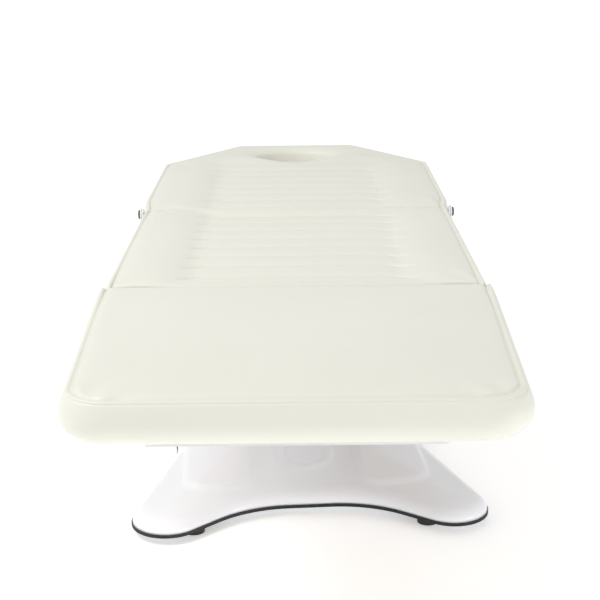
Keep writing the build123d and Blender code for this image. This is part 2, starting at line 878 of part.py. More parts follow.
with BuildPart() as mains_inlet:
    block(
        box_x - inlet_half_x,
        box_x + inlet_half_x,
        box_half_y - inlet_depth,
        box_half_y,
        inlet_low,
        inlet_high,
    )
    block(
        box_x - inlet_half_x + inlet_wall,
        box_x + inlet_half_x - inlet_wall,
        box_half_y - inlet_depth + 2 * inlet_wall,
        box_half_y,
        inlet_low + inlet_wall,
        inlet_high - inlet_wall,
        Mode.SUBTRACT,
    )
    for x in (box_x - inlet_pin_spacing, box_x, box_x + inlet_pin_spacing):
        block(
            x - inlet_pin_half,
            x + inlet_pin_half,
            box_half_y - inlet_depth + 2 * inlet_wall,
            box_half_y - inlet_pin_recess,
            inlet_low + inlet_pin_margin,
            inlet_high - inlet_pin_margin,
        )
mains_inlet.part.label = "mains_inlet"
export_step(mains_inlet.part, "parts/mains_inlet.step")

# ---- Lift column ---------------------------------------------------------------------

column_top = 365
middle_low = 72
middle_top = 378
inner_low = 82
lower_shroud_top = 345
middle_shroud_low = 90
middle_collar_low = 374
upper_shroud_low = 105
gearbox_top = 66
gearbox_half = 30
gearbox_end = base_y + 101
gearbox_neck_length = 14
gearbox_neck_low = 45
gearbox_neck_high = 62
motor_can_half_length = 55
motor_can_radius = 19
motor_can_y = base_y + 122
motor_can_z = 42
screw_tube_radius = 22
screw_tube_top = 350
lift_rod_radius = 13
glide_gap = 2
glide_height = 26
glide_half = 30

with BuildPart() as outer_column_tube:
    square_column(base_y, column_plate_top, column_top, outer_column, column_wall)
    block(
        -gearbox_half - 1,
        gearbox_half + 1,
        base_y + outer_column / 2 - column_wall,
        base_y + outer_column / 2,
        column_plate_top,
        gearbox_top + 1,
        Mode.SUBTRACT,
    )
outer_column_tube.part.label = "outer_column_tube"
export_step(turned(outer_column_tube.part), "parts/outer_column_tube.step")

with BuildPart() as middle_column_tube:
    square_column(base_y, middle_low, middle_top, middle_column, column_wall)
middle_column_tube.part.label = "middle_column_tube"
export_step(turned(middle_column_tube.part), "parts/middle_column_tube.step")

with BuildPart() as inner_column_tube:
    square_column(base_y, inner_low, lift_plate_bottom, inner_column, column_wall)
inner_column_tube.part.label = "inner_column_tube"
export_step(turned(inner_column_tube.part), "parts/inner_column_tube.step")


def glide_pads(inner_side, z_top):
    """Four low-friction pads that line the mouth of a column tube."""
    near = inner_side / 2 - glide_gap + running_clearance
    far = inner_side / 2
    for x_low, x_high in both_sides(near, far):
        block(x_low, x_high, base_y - glide_half, base_y + glide_half, z_top - glide_height, z_top)
        block(-glide_half, glide_half, base_y + x_low, base_y + x_high, z_top - glide_height, z_top)


with BuildPart() as outer_glide_pads:
    glide_pads(outer_column - 2 * column_wall, column_top - 3)
outer_glide_pads.part.label = "outer_glide_pads"
export_step(turned(outer_glide_pads.part), "parts/outer_glide_pads.step")

with BuildPart() as middle_glide_pads:
    glide_pads(middle_column - 2 * column_wall, middle_top - 3)
middle_glide_pads.part.label = "middle_glide_pads"
export_step(turned(middle_glide_pads.part), "parts/middle_glide_pads.step")

with BuildPart() as lift_gear_motor:
    block(
        -gearbox_half, gearbox_half, base_y - gearbox_half, gearbox_end, column_plate_top, gearbox_top
    )
    block(
        -gearbox_half,
        gearbox_half,
        gearbox_end,
        gearbox_end + gearbox_neck_length,
        gearbox_neck_low,
        gearbox_neck_high,
    )
    bar_along_x(
        -motor_can_half_length, motor_can_half_length, motor_can_y, motor_can_z, motor_can_radius
    )
lift_gear_motor.part.label = "lift_gear_motor"
export_step(turned(lift_gear_motor.part), "parts/lift_gear_motor.step")

with BuildPart() as lift_screw_tube:
    upright(0, base_y, gearbox_top, screw_tube_top, screw_tube_radius)
    upright(
        0,
        base_y,
        gearbox_top,
        screw_tube_top,
        lift_rod_radius + running_clearance,
        mode=Mode.SUBTRACT,
    )
lift_screw_tube.part.label = "lift_screw_tube"
export_step(turned(lift_screw_tube.part), "parts/lift_screw_tube.step")

with BuildPart() as lift_rod:
    upright(0, base_y, gearbox_top + 6, lift_plate_bottom, lift_rod_radius)
lift_rod.part.label = "lift_rod"
export_step(turned(lift_rod.part), "parts/lift_rod.step")

with BuildPart() as lower_column_shroud:
    square_column(base_y, cover_peak, lower_shroud_top, lower_shroud, column_wall)
lower_column_shroud.part.label = "lower_column_shroud"
export_step(turned(lower_column_shroud.part), "parts/lower_column_shroud.step")

with BuildPart() as middle_column_shroud:
    collar = (middle_shroud - middle_column) / 2
    square_column(base_y, middle_shroud_low, middle_collar_low, middle_shroud, column_wall)
    square_column(base_y, middle_collar_low, middle_top, middle_shroud, collar)
middle_column_shroud.part.label = "middle_column_shroud"
export_step(turned(middle_column_shroud.part), "parts/middle_column_shroud.step")

with BuildPart() as upper_column_shroud:
    square_column(base_y, upper_shroud_low, lift_plate_bottom, upper_shroud, column_wall)
upper_column_shroud.part.label = "upper_column_shroud"
export_step(turned(upper_column_shroud.part), "parts/upper_column_shroud.step")

# Slewing ring between the column and the bed: a turned plate with the outer race on the
# column, and the inner race under the bed's top plate
swivel_plate_radius = 85
outer_race_radius = 74
race_split_radius = 64
inner_race_radius = 50
race_clearance = 0.3

with BuildPart() as swivel_base:
    upright(0, base_y, lift_plate_bottom, lift_plate_top, swivel_plate_radius)
    upright(0, base_y, lift_plate_top, top_plate_bottom - race_clearance, outer_race_radius)
    upright(
        0, base_y, lift_plate_top, top_plate_bottom, race_split_radius, mode=Mode.SUBTRACT
    )
swivel_base.part.label = "swivel_base"
export_step(turned(swivel_base.part), "parts/swivel_base.step")

with BuildPart() as swivel_ring:
    ring_low = lift_plate_top + race_clearance
    upright(0, base_y, ring_low, top_plate_bottom, race_split_radius - race_clearance)
    upright(0, base_y, ring_low, top_plate_bottom, inner_race_radius, mode=Mode.SUBTRACT)
swivel_ring.part.label = "swivel_ring"
export_step(swivel_ring.part, "parts/swivel_ring.step")

# ---- Floor base ----------------------------------------------------------------------

socket_width = 36
socket_length = 30
socket_corner = 12
socket_top = 36
foot_pad_rounding = 3
foot_stem_top = socket_top - 2
column_plate_half = 100
column_bolt_x = 80
column_bolt_radius = 5
column_bolt_head_radius = 8
column_bolt_head_height = 6
column_bolt_places = [
    (x, base_y + y) for x in (-column_bolt_x, column_bolt_x) for y in (-base_bar_y, base_bar_y)
]
foot_places = [(x, base_y + y) for x in (-foot_x, foot_x) for y in (-foot_y, foot_y)]

with BuildPart() as base_frame:
    for x in (-base_rail_x, base_rail_x):
        tube_along_y(
            x,
            base_y - base_rail_half_length,
            base_y + base_rail_half_length,
            rail_bottom,
            base_rail_height,
            base_rail_width,
        )
    for y in (-base_bar_y, base_bar_y):
        tube_along_x(
            base_y + y,
            base_rail_x - base_rail_width / 2,
            rail_bottom,
            base_rail_height,
            base_rail_width,
        )
    bolt_holes(column_bolt_places, rail_bottom, column_plate_bottom, column_bolt_radius)
    for x, y in foot_places:
        end_face = base_y + math.copysign(base_rail_half_length, y - base_y)
        outward = math.copysign(socket_length, y - base_y)
        with BuildSketch(Plane.XY.offset(rail_bottom)) as socket_plan:
            with Locations((x, end_face + outward / 2)):
                RectangleRounded(socket_width, socket_length, socket_corner)
        extrude(socket_plan.sketch, amount=socket_top - rail_bottom)
        upright(
            x, y, rail_bottom, socket_top, foot_stem_radius + running_clearance, mode=Mode.SUBTRACT
        )
base_frame.part.label = "base_frame"
export_step(turned(base_frame.part), "parts/base_frame.step")

with BuildPart() as column_plate:
    block(
        -column_plate_half,
        column_plate_half,
        base_y - column_plate_half,
        base_y + column_plate_half,
        column_plate_bottom,
        column_plate_top,
    )
    bolt_holes(column_bolt_places, column_plate_bottom, column_plate_top, column_bolt_radius)
column_plate.part.label = "column_plate"
export_step(turned(column_plate.part), "parts/column_plate.step")

with BuildPart() as column_bolts:
    for x, y in column_bolt_places:
        upright(x, y, rail_bottom, column_plate_top, column_bolt_radius)
        upright(
            x,
            y,
            column_plate_top,
            column_plate_top + column_bolt_head_height,
            column_bolt_head_radius,
        )
column_bolts.part.label = "column_bolts"
export_step(turned(column_bolts.part), "parts/column_bolts.step")

foot_names = {
    "front_left_foot": (-foot_x, base_y - foot_y),
    "front_right_foot": (foot_x, base_y - foot_y),
    "rear_left_foot": (-foot_x, base_y + foot_y),
    "rear_right_foot": (foot_x, base_y + foot_y),
}
for foot_name, (x, y) in foot_names.items():
    with BuildPart() as levelling_foot:
        upright(x, y, 0, foot_pad_height, foot_pad_radius)
        fillet(levelling_foot.edges().group_by(Axis.Z)[-1], foot_pad_rounding)
        upright(x, y, foot_pad_height, foot_stem_top, foot_stem_radius)
    levelling_foot.part.label = foot_name
    export_step(turned(levelling_foot.part), f"parts/{foot_name}.step")

trim_overhang = 1.5
trim_width = 6

with BuildPart() as base_trim:
    trim_height = cover_bottom - trim_bottom
    extrude(base_outline(trim_bottom, -trim_overhang), amount=trim_height)
    extrude(base_outline(trim_bottom, trim_width), amount=trim_height, mode=Mode.SUBTRACT)
base_trim.part.label = "base_trim"
export_step(turned(base_trim.part), "parts/base_trim.step")


hump_overlap = 2
hump_corner = 60
hump_top_corner = 20


def cover_form(shrink):
    """Solid form of the base cover: a rounded slab with a low sloping hump over the column."""
    with BuildPart() as form:
        top = cover_edge_height - shrink
        extrude(base_outline(cover_bottom, shrink), amount=top - cover_bottom)
        fillet(form.edges().group_by(Axis.Z)[-1], cover_edge_radius - shrink)
        with BuildSketch(Plane.XY.offset(top - hump_overlap)):
            with Locations((0, base_y)):
                RectangleRounded(
                    2 * (hump_half_x - shrink), 2 * (hump_half_y - shrink), hump_corner
                )
        with BuildSketch(Plane.XY.offset(cover_peak - shrink)):
            with Locations((0, base_y)):
                RectangleRounded(
                    2 * (hump_top_half - shrink), 2 * (hump_top_half - shrink), hump_top_corner
                )
        loft(ruled=True)
    return form.part


# Round boss on the front slope of the cover
boss_radius = 56
boss_height = 4
boss_y = base_y - 160
slope_start_y = base_y - hump_half_y
slope_start_z = cover_edge_height - hump_overlap
slope_rise = (cover_peak - slope_start_z) / (hump_half_y - hump_top_half)
slope = math.atan(slope_rise)
boss_z = slope_start_z + (boss_y - slope_start_y) * slope_rise
boss_normal = (0, -math.sin(slope), math.cos(slope))
boss_plane = Plane((0, boss_y, boss_z), x_dir=(1, 0, 0), z_dir=boss_normal)

with BuildPart() as base_cover:
    add(cover_form(0))
    add(cover_form(cover_wall), mode=Mode.SUBTRACT)
    with BuildSketch(boss_plane):
        Circle(boss_radius)
    extrude(amount=boss_height)
    column_hole_half = lower_shroud / 2 - column_wall
    block(
        -column_hole_half,
        column_hole_half,
        base_y - column_hole_half,
        base_y + column_hole_half,
        cover_edge_height,
        cover_peak,
        Mode.SUBTRACT,
    )
base_cover.part.label = "base_cover"
export_step(turned(base_cover.part), "parts/base_cover.step")
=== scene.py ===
import json
import math

import bmesh
import bpy
import numpy as np
from mathutils import Matrix, Vector
from mathutils.bvhtree import BVHTree


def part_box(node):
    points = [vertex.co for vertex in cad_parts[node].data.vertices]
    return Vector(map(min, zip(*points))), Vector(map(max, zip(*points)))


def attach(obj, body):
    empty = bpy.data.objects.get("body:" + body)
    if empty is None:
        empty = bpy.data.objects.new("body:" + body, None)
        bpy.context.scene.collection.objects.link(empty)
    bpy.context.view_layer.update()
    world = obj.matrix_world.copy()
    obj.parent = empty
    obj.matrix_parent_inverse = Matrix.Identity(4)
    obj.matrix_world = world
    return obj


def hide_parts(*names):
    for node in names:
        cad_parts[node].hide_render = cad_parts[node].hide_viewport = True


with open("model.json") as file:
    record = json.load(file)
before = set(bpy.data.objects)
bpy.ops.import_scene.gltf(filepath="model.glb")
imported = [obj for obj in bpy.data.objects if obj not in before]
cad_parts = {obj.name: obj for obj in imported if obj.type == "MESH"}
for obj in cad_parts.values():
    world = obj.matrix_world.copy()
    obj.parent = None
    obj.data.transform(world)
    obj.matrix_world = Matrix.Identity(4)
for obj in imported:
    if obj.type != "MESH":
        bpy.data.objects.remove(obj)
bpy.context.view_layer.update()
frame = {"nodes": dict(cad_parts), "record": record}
scene = bpy.context.scene

# Sizes in metres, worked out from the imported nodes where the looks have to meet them
cushion_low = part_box("leg_cushion")[0].z
cushion_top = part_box("leg_cushion")[1].z
foot_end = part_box("leg_cushion")[0].y
leg_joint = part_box("leg_cushion")[1].y
seat_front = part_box("seat_cushion")[0].y
seat_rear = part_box("seat_cushion")[1].y
back_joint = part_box("back_cushion")[0].y
head_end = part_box("back_cushion")[1].y
leg_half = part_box("leg_cushion")[1].x
seat_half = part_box("seat_cushion")[1].x
back_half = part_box("back_cushion")[1].x
column_low, column_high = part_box("lower_column_shroud")
column_y = (column_low.y + column_high.y) / 2
base_turn = math.radians(4)
turned_width = abs(math.cos(base_turn)) + abs(math.sin(base_turn))
column_half = (column_high.x - column_low.x) / 2 / turned_width
cover_low, cover_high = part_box("base_cover")

piping_radius = 0.0036
piping_inset = 0.0062
channel_pitch = 0.065
panel_half = 0.165
bolster_foot = 0.205
bolster_rise = 0.009
side_roll_width = 0.024
joint_roll_width = 0.016
edge_drop = 0.008
seam_depth = 0.0048
seam_inset = 0.0112
seam_width = 0.0024
swell_limit = 0.004
shoulder_y = 0.666
head_half = 0.143
foot_half = 0.285
foot_corner = 0.060
sharp_corner = 0.0005
head_corner = 0.024
hinge_radius = 0.150
hinge_relief_half = 0.300
hinge_relief_end = 0.250


# ---- Small tools ---------------------------------------------------------------------


def smooth(t):
    """Smooth step from 0 to 1, on numbers or arrays."""
    t = np.clip(t, 0.0, 1.0)
    return t * t * (3 - 2 * t)


def rounded_outline(corners, radii, step=0.006):
    """Closed outline as points: straight edges, with an arc of its own radius at each corner."""
    points = []
    for i, radius in enumerate(radii):
        before, here, after = (np.array(corners[k % len(corners)]) for k in (i - 1, i, i + 1))
        back = (before - here) / np.linalg.norm(before - here)
        ahead = (after - here) / np.linalg.norm(after - here)
        angle = math.acos(float(np.clip(back @ ahead, -1, 1)))
        reach = radius / math.tan(angle / 2)
        centre = here + (back + ahead) / np.linalg.norm(back + ahead) * radius / math.sin(angle / 2)
        start = here + back * reach - centre
        end = here + ahead * reach - centre
        first = math.atan2(start[1], start[0])
        sweep = (math.atan2(end[1], end[0]) - first + math.pi) % (2 * math.pi) - math.pi
        count = max(2, int(abs(sweep) * radius / step))
        for k in range(count + 1):
            turn = first + sweep * k / count
            points.append(centre + radius * np.array([math.cos(turn), math.sin(turn)]))
    return even_points(np.array(points), step)


def even_points(points, step, closed=True):
    """The same line with points added so that none are further apart than step."""
    result = []
    count = len(points) if closed else len(points) - 1
    for i in range(count):
        here, after = points[i], points[(i + 1) % len(points)]
        length = np.linalg.norm(after - here)
        if length < 1e-7:
            continue
        pieces = max(1, math.ceil(length / step))
        result += [here + (after - here) * k / pieces for k in range(pieces)]
    if not closed:
        result.append(points[-1])
    return np.array(result)


def distance_to(points, line):
    """Distance from each point to the nearest point of an open line."""
    a, b = line[:-1], line[1:]
    span = b - a
    length = np.maximum((span**2).sum(1), 1e-12)
    result = np.full(len(points), 1e9)
    for k in range(len(a)):
        t = np.clip(((points - a[k]) @ span[k]) / length[k], 0, 1)
        near = a[k] + t[:, None] * span[k]
        result = np.minimum(result, np.linalg.norm(points - near, axis=1))
    return result


def outward_normals(loop):
    """Outward unit normals of a closed loop that runs anticlockwise."""
    along = np.roll(loop, -1, axis=0) - np.roll(loop, 1, axis=0)
    along /= np.maximum(np.linalg.norm(along, axis=1), 1e-9)[:, None]
    return np.stack([along[:, 1], -along[:, 0]], axis=1)


def make_object(name, points, faces, body, material, smooth_faces=True):
    """A mesh object with its normals outward, riding on a body."""
    mesh = bpy.data.meshes.new(name)
    mesh.from_pydata([tuple(map(float, p)) for p in points], [], faces)
    shape = bmesh.new()
    shape.from_mesh(mesh)
    bmesh.ops.remove_doubles(shape, verts=shape.verts, dist=1e-6)
    bmesh.ops.recalc_face_normals(shape, faces=shape.faces)
    shape.to_mesh(mesh)
    shape.free()
    if smooth_faces:
        mesh.shade_smooth()
    obj = bpy.data.objects.new(name, mesh)
    scene.collection.objects.link(obj)
    mesh.materials.append(material)
    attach(obj, body)
    return obj


def apply_modifiers(obj):
    """Replaces the object's mesh by what its modifiers make of it."""
    graph = bpy.context.evaluated_depsgraph_get()
    result = bpy.data.meshes.new_from_object(obj.evaluated_get(graph))
    obj.modifiers.clear()
    obj.data = result


def subdivide(obj, levels=1):
    """Catmull-Clark subdivision, applied."""
    modifier = obj.modifiers.new("subdivision", "SUBSURF")
    modifier.levels = levels
    modifier.render_levels = levels
    apply_modifiers(obj)
    obj.data.shade_smooth()


def coordinates(obj):
    """Vertex positions as an array."""
    values = np.zeros(len(obj.data.vertices) * 3)
    obj.data.vertices.foreach_get("co", values)
    return values.reshape(-1, 3)


def set_coordinates(obj, values):
    obj.data.vertices.foreach_set("co", values.ravel())
    obj.data.update()


# ---- Materials -----------------------------------------------------------------------


class Nodes:
    """Short way to build a node material."""

    def __init__(self, name):
        self.material = bpy.data.materials.new(name)
        self.material.use_nodes = True
        self.tree = self.material.node_tree
        self.shader = self.tree.nodes["Principled BSDF"]
        self.place = self.add("ShaderNodeTexCoord").outputs["Object"]

    def add(self, kind, **values):
        node = self.tree.nodes.new(kind)
        for key, value in values.items():
            if hasattr(node, key):
                setattr(node, key, value)
            else:
                node.inputs[key.replace("_", " ")].default_value = value
        return node

    def link(self, source, target):
        self.tree.links.new(source, target)

    def noise(self, scale, detail=3.0, roughness=0.55):
        node = self.add("ShaderNodeTexNoise", Scale=scale, Detail=detail, Roughness=roughness)
        self.link(self.place, node.inputs["Vector"])
        return node.outputs["Fac"]

    def cells(self, scale, feature="F1"):
        node = self.add("ShaderNodeTexVoronoi", Scale=scale)
        node.feature = feature
        self.link(self.place, node.inputs["Vector"])
        return node.outputs["Distance"]

    def spread(self, source, low, high, from_low=0.35, from_high=0.65):
        node = self.add("ShaderNodeMapRange")
        node.inputs["From Min"].default_value = from_low
        node.inputs["From Max"].default_value = from_high
        node.inputs["To Min"].default_value = low
        node.inputs["To Max"].default_value = high
        self.link(source, node.inputs["Value"])
        return node.outputs["Result"]

    def mix(self, factor, first, second):
        node = self.add("ShaderNodeMix")
        node.data_type = "RGBA"
        sockets = [s for s in node.inputs if s.enabled]
        self.link(factor, sockets[0])
        for socket, value in zip(sockets[1:], (first, second)):
            if isinstance(value, tuple):
                socket.default_value = (*value, 1.0)
            else:
                self.link(value, socket)
        return [s for s in node.outputs if s.enabled][0]

    def bump(self, height, distance, strength=1.0, below=None):
        node = self.add("ShaderNodeBump")
        node.inputs["Strength"].default_value = strength
        node.inputs["Distance"].default_value = distance
        self.link(height, node.inputs["Height"])
        if below is not None:
            self.link(below, node.inputs["Normal"])
        return node.outputs["Normal"]

    def set(self, **values):
        for key, value in values.items():
            socket = self.shader.inputs[key.replace("_", " ")]
            if hasattr(value, "is_linked"):
                self.link(value, socket)
            else:
                socket.default_value = value


def vinyl(name, colour, dark, coarse_grain=2600.0):
    """Soft upholstery vinyl: fine leather grain, faint clouding and a satin sheen."""
    n = Nodes(name)
    clouds = n.noise(5.0, 2.0)
    grain = n.cells(coarse_grain * 0.35, "DISTANCE_TO_EDGE")
    creases = n.noise(220.0, 4.0, 0.6)
    n.set(Base_Color=n.mix(n.spread(clouds, 0.0, 1.0), dark, colour))
    n.set(Roughness=n.spread(n.noise(60.0, 3.0), 0.40, 0.52))
    fine = n.bump(n.spread(grain, 0.0, 1.0, 0.0, 0.35), 0.00012, 0.5)
    n.set(Normal=n.bump(creases, 0.00025, 0.35, fine))
    n.set(Sheen_Weight=0.12, Sheen_Roughness=0.5, Coat_Weight=0.08, Coat_Roughness=0.35)
    return n.material


def plastic(name, colour, dark, low, high, grain=900.0, depth=0.00006, coat=0.0):
    """Moulded plastic: faint colour drift, mould texture and uneven gloss."""
    n = Nodes(name)
    n.set(Base_Color=n.mix(n.spread(n.noise(7.0, 2.0), 0.0, 1.0), dark, colour))
    n.set(Roughness=n.spread(n.noise(35.0, 4.0), low, high))
    n.set(Normal=n.bump(n.noise(grain, 2.0), depth, 0.6))
    n.set(Coat_Weight=coat, Coat_Roughness=0.12)
    return n.material


def metal(name, colour, dark, low, high, stretch=(1.0, 1.0, 1.0), grain=400.0, painted=False):
    """Metal or powder coat: grain drawn out along one axis, with smudged roughness."""
    n = Nodes(name)
    mapping = n.add("ShaderNodeMapping")
    mapping.inputs["Scale"].default_value = stretch
    n.link(n.place, mapping.inputs["Vector"])
    texture = n.add("ShaderNodeTexNoise", Scale=grain, Detail=4.0, Roughness=0.6)
    n.link(mapping.outputs["Vector"], texture.inputs["Vector"])
    grain_out = texture.outputs["Fac"]
    n.set(Base_Color=n.mix(n.spread(n.noise(14.0, 3.0), 0.0, 1.0), dark, colour))
    n.set(Roughness=n.spread(grain_out, low, high))
    n.set(Normal=n.bump(grain_out, 0.00008 if painted else 0.00003, 0.5))
    n.set(Metallic=0.0 if painted else 1.0)
    return n.material


def plywood(name):
    """Birch ply: pale grain lines that run the length of the bed."""
    n = Nodes(name)
    mapping = n.add("ShaderNodeMapping")
    mapping.inputs["Scale"].default_value = (14.0, 1.2, 60.0)
    n.link(n.place, mapping.inputs["Vector"])
    texture = n.add("ShaderNodeTexNoise", Scale=6.0, Detail=6.0, Roughness=0.65)
    n.link(mapping.outputs["Vector"], texture.inputs["Vector"])
    grain = texture.outputs["Fac"]
    n.set(Base_Color=n.mix(n.spread(grain, 0.0, 1.0), (0.42, 0.28, 0.15), (0.68, 0.52, 0.33)))
    n.set(Roughness=n.spread(grain, 0.55, 0.72), Normal=n.bump(grain, 0.0002, 0.4))
    return n.material


cream = (0.75, 0.744, 0.662)
materials = {
    "upholstery": vinyl("cream_vinyl", cream, (0.738, 0.731, 0.648)),
    "plywood": plywood("birch_plywood"),
    "frame_paint": metal(
        "white_powder_coat",
        (0.80, 0.80, 0.81),
        (0.74, 0.74, 0.75),
        0.35,
        0.5,
        grain=1500.0,
        painted=True,
    ),
    "base_steel": metal(
        "black_powder_coat",
        (0.03, 0.03, 0.032),
        (0.02, 0.02, 0.021),
        0.4,
        0.6,
        grain=1500.0,
        painted=True,
    ),
    "zinc_steel": metal("zinc_plate", (0.62, 0.62, 0.64), (0.50, 0.50, 0.50), 0.25, 0.45),
    "bright_rod": metal(
        "ground_rod", (0.80, 0.80, 0.82), (0.70, 0.70, 0.72), 0.08, 0.2, (1, 0.05, 1), 900.0
    ),
    "bush": metal("bronze", (0.70, 0.50, 0.24), (0.55, 0.38, 0.17), 0.3, 0.45),
    "black_plastic": plastic(
        "black_plastic", (0.014, 0.014, 0.015), (0.02, 0.02, 0.021), 0.38, 0.55
    ),
    "trim_rubber": plastic(
        "black_rubber", (0.010, 0.010, 0.010), (0.016, 0.016, 0.016), 0.55, 0.7
    ),
    "drive_plastic": plastic("grey_plastic", (0.20, 0.20, 0.21), (0.17, 0.17, 0.175), 0.4, 0.55),
    "cast_metal": metal("die_casting", (0.58, 0.59, 0.60), (0.45, 0.46, 0.47), 0.35, 0.6, grain=250.0),
    "glide_plastic": plastic("acetal", (0.75, 0.75, 0.71), (0.70, 0.70, 0.66), 0.35, 0.5),
    "cover_plastic": plastic(
        "white_shell", (0.92, 0.93, 0.965), (0.917, 0.927, 0.962), 0.275, 0.285, 1400.0, 0.00002, 0.2
    ),
}
thread = vinyl("cream_thread", (0.82, 0.80, 0.72), (0.74, 0.72, 0.62), 9000.0)

for part in frame["record"]["subparts"]:
    node = frame["nodes"][part["node"]]
    node.data.materials.clear()
    node.data.materials.append(materials[part["material_slot"]])


# ---- Cushions ------------------------------------------------------------------------


class Cushion:
    """One upholstered section: its outline, its joint lines, and how high its top stands."""

    def __init__(
        self, corners, radii, joints, channels=(), crown=0.004, side_bulge=0.003
    ):
        self.outline = rounded_outline(corners, radii)
        self.joints = joints
        self.channels = channels
        self.crown = crown
        self.side_bulge = side_bulge
        at_joint = np.zeros(len(self.outline), bool)
        for y in joints:
            at_joint |= np.abs(self.outline[:, 1] - y) < 0.0002
        self.at_joint = at_joint
        self.low_y = self.outline[:, 1].min()
        self.high_y = self.outline[:, 1].max()
        right = self.outline[self.outline[:, 0] > 0]
        order = np.argsort(right[:, 1])
        self.right = right[order]

    def half_width(self, y):
        """Half width of the outline at y, where y is inside the cushion's length."""
        near = np.abs(self.right[:, 1] - y) < 1e-6
        if near.any():
            return self.right[near, 0].max()
        return float(np.interp(y, self.right[:, 1], self.right[:, 0]))

    def piped_lines(self):
        """The stretches of the outline that carry piping, as open lines."""
        closed = np.vstack([self.outline, self.outline[:1]])
        joint = np.append(self.at_joint, self.at_joint[0])
        lines, current = [], []
        for point, on_joint, next_joint in zip(closed, joint, np.append(joint[1:], joint[0])):
            if on_joint and next_joint:
                if len(current) > 1:
                    lines.append(np.array(current + [point]))
                current = []
                continue
            current.append(point)
        if len(current) > 1:
            if lines and not joint[0]:
                lines[0] = np.vstack([np.array(current[:-1]), lines[0]])
            else:
                lines.append(np.array(current))
        return lines

    def shape(self, plan):
        """Height of the top over each plan point, from the edge rolls, crown and bolsters."""
        side = np.full(len(plan), 1e9)
        for line in self.piped_lines():
            side = np.minimum(side, distance_to(plan, line))
        joint = np.full(len(plan), 1e9)
        for y in self.joints:
            joint = np.minimum(joint, np.abs(plan[:, 1] - y))
        side_roll = 1 - np.clip(side / side_roll_width, 0, 1)
        joint_roll = 1 - np.clip(joint / joint_roll_width, 0, 1)
        drop_side = 1 - np.sqrt(1 - side_roll**2 * 0.985)
        drop_joint = 1 - np.sqrt(1 - joint_roll**2 * 0.985)
        drop = 1 - (1 - drop_side) * (1 - 0.8 * drop_joint)
        height = cushion_top - 0.001 - edge_drop * drop
        height -= seam_depth * np.exp(-(((side - seam_inset) / seam_width) ** 2))
        middle = smooth(side / 0.20) * smooth(joint / 0.18) if self.joints else smooth(side / 0.2)
        height += self.crown * middle
        if len(self.channels):
            across = np.abs(plan[:, 0])
            panel = 1 - smooth((across - panel_half) / (bolster_foot + 0.02 - panel_half))
            panel *= self.panel_share(plan)
            height -= bolster_rise * panel * smooth(joint / 0.02)
            height += 0.002 * smooth((across - bolster_foot) / 0.04) * smooth(side / 0.04)
        return height

    def panel_share(self, plan):
        """1 over the channelled panel, fading to 0 past the last channel at the head."""
        if self.high_y < head_end - 0.01:
            return np.ones(len(plan))
        last = self.channels[-1] + channel_pitch * 0.75
        return 1 - smooth((plan[:, 1] - last) / 0.07)


def slant(across):
    """How far a channel bends towards the foot end at this distance from the middle."""
    out = smooth((across - 0.150) / 0.048)
    back = 1 - smooth((across - 0.205) / 0.07)
    return 0.024 * out * back


def channel_fade(across):
    """Depth of a channel, full across the panel and gone at the bolsters."""
    return 1 - smooth((across - 0.158) / 0.046)


def channel_rows(low, high, channels):
    """Rows of the top mesh: close together at each channel, wider between."""
    offsets = [-0.011, -0.006, -0.003, -0.001, 0.001, 0.003, 0.006, 0.011]
    rows = [low + d for d in (0.0, 0.0015, 0.004, 0.008, 0.013)]
    rows += [high - d for d in (0.0, 0.0015, 0.004, 0.008, 0.013)]
    for y in channels:
        rows += [y + d for d in offsets]
    rows = sorted(y for y in rows if low - 1e-6 <= y <= high + 1e-6)
    filled = []
    for here, after in zip(rows, rows[1:]):
        pieces = max(1, round((after - here) / 0.0095))
        filled += [here + (after - here) * k / pieces for k in range(pieces)]
    return filled + [rows[-1]]


def column_shares():
    """Shares of the half width for the columns of the top mesh, closer near the sides."""
    inner = list(np.linspace(0, 0.88, 34))
    outer = [0.90, 0.922, 0.938, 0.948, 0.955, 0.961, 0.967, 0.973, 0.980, 0.988, 0.995, 1.0]
    half = inner + outer
    return [-s for s in reversed(half[1:])] + half


def cushion_mesh(cushion, rows, head_row=None):
    """Top points, faces, boundary loop and hole loop of a cushion. Rows run across it."""
    shares = column_shares()
    points, faces = [], []
    grid = []
    for y in rows:
        half = cushion.half_width(y)
        line = []
        for share in shares:
            x = share * half
            edge = smooth(min(y - rows[0], rows[-1] - y) / 0.03)
            shift = slant(abs(x)) * float(edge) if len(cushion.channels) else 0.0
            line.append(len(points))
            points.append((x, y - shift))
        grid.append(line)
    for low, high in zip(grid, grid[1:]):
        for k in range(len(low) - 1):
            faces.append((low[k], low[k + 1], high[k + 1], high[k]))
    right = [line[-1] for line in grid]
    left = [line[0] for line in grid]
    if head_row is None:
        loop = grid[0] + right[1:] + grid[-1][-2::-1] + left[-2:0:-1]
        return points, faces, loop, []
    head_line, head_loop, hole_loop, head_points, head_faces = head_section(
        cushion, [points[i] for i in grid[-1]]
    )
    index = {}
    for k, i in enumerate(grid[-1]):
        index[head_line[k]] = i
    for k, p in enumerate(head_points):
        if k not in index:
            index[k] = len(points)
            points.append(p)
    faces += [tuple(index[k] for k in face) for face in head_faces]
    loop = grid[0] + right[1:] + [index[k] for k in head_loop] + left[-2:0:-1]
    return points, faces, loop, [index[k] for k in hole_loop]


hole_centre = np.array([0.0, 0.783])
hole_half = np.array([0.095, 0.080])


